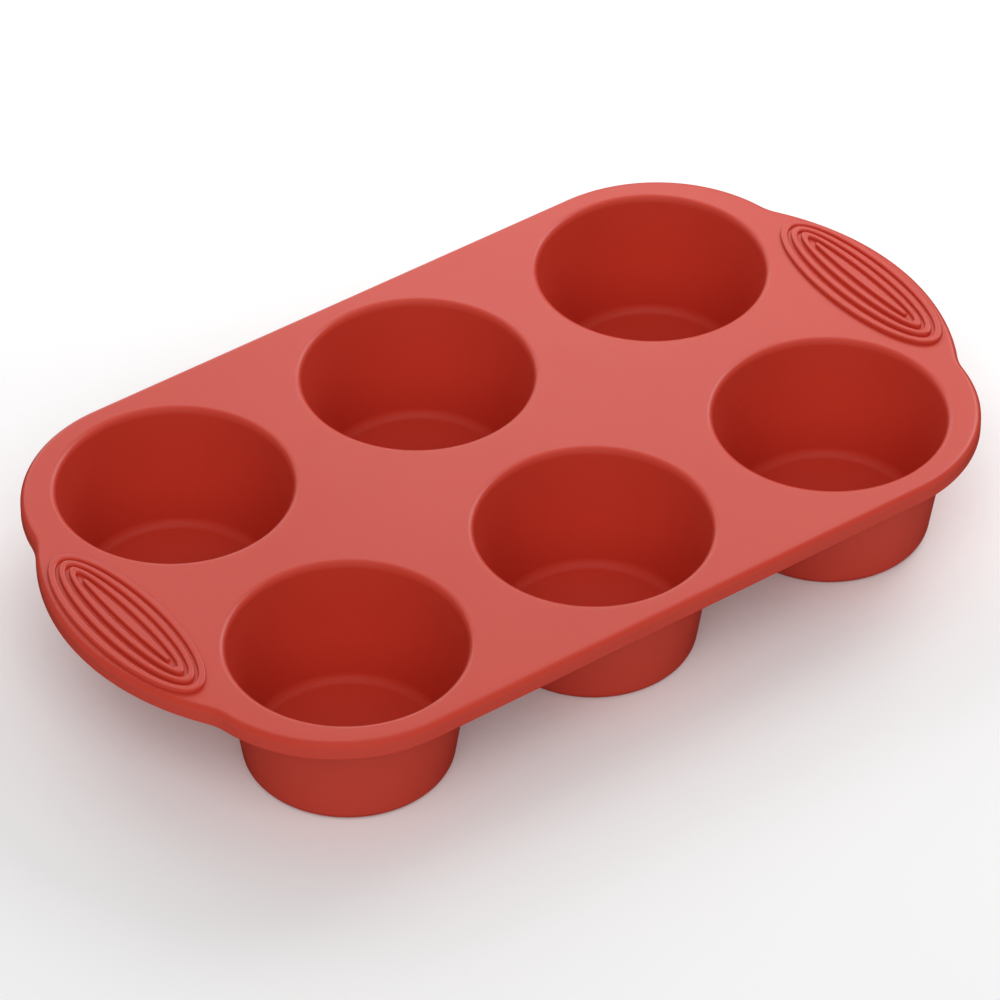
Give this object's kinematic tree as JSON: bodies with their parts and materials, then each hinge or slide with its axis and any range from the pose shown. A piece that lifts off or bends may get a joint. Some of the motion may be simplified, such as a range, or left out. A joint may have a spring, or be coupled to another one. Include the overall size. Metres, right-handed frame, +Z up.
{
  "type": "muffin tray",
  "caption": "Silicone muffin tray: round tapered cups in a flat deck with a turned-down edge and a ribbed oval grip lobe at each short end.",
  "frame": {"origin": "centre of the footprint, on the plane that the cup undersides stand on", "axes": "+X along the length, from one grip lobe to the other; +Y towards the back row; +Z up, out of the cup mouths"},
  "size_m": [0.3, 0.175, 0.0437],
  "materials": {
    "red_silicone": "satin moulded silicone rubber, soft sheen, very fine mould texture"
  },
  "bodies": {
    "root": {"deck": "red_silicone", "rim_skirt": "red_silicone", "cup_wall_front_left": "red_silicone", "cup_floor_front_left": "red_silicone", "cup_wall_front_middle": "red_silicone", "cup_floor_front_middle": "red_silicone", "cup_wall_front_right": "red_silicone", "cup_floor_front_right": "red_silicone", "cup_wall_back_left": "red_silicone", "cup_floor_back_left": "red_silicone", "cup_wall_back_middle": "red_silicone", "cup_floor_back_middle": "red_silicone", "cup_wall_back_right": "red_silicone", "cup_floor_back_right": "red_silicone", "grip_left_pad": "red_silicone", "grip_left_rib_outer": "red_silicone", "grip_left_rib_middle": "red_silicone", "grip_left_rib_inner": "red_silicone", "grip_left_rib_core": "red_silicone", "grip_right_pad": "red_silicone", "grip_right_rib_outer": "red_silicone", "grip_right_rib_middle": "red_silicone", "grip_right_rib_inner": "red_silicone", "grip_right_rib_core": "red_silicone"}
  },
  "joints": []
}
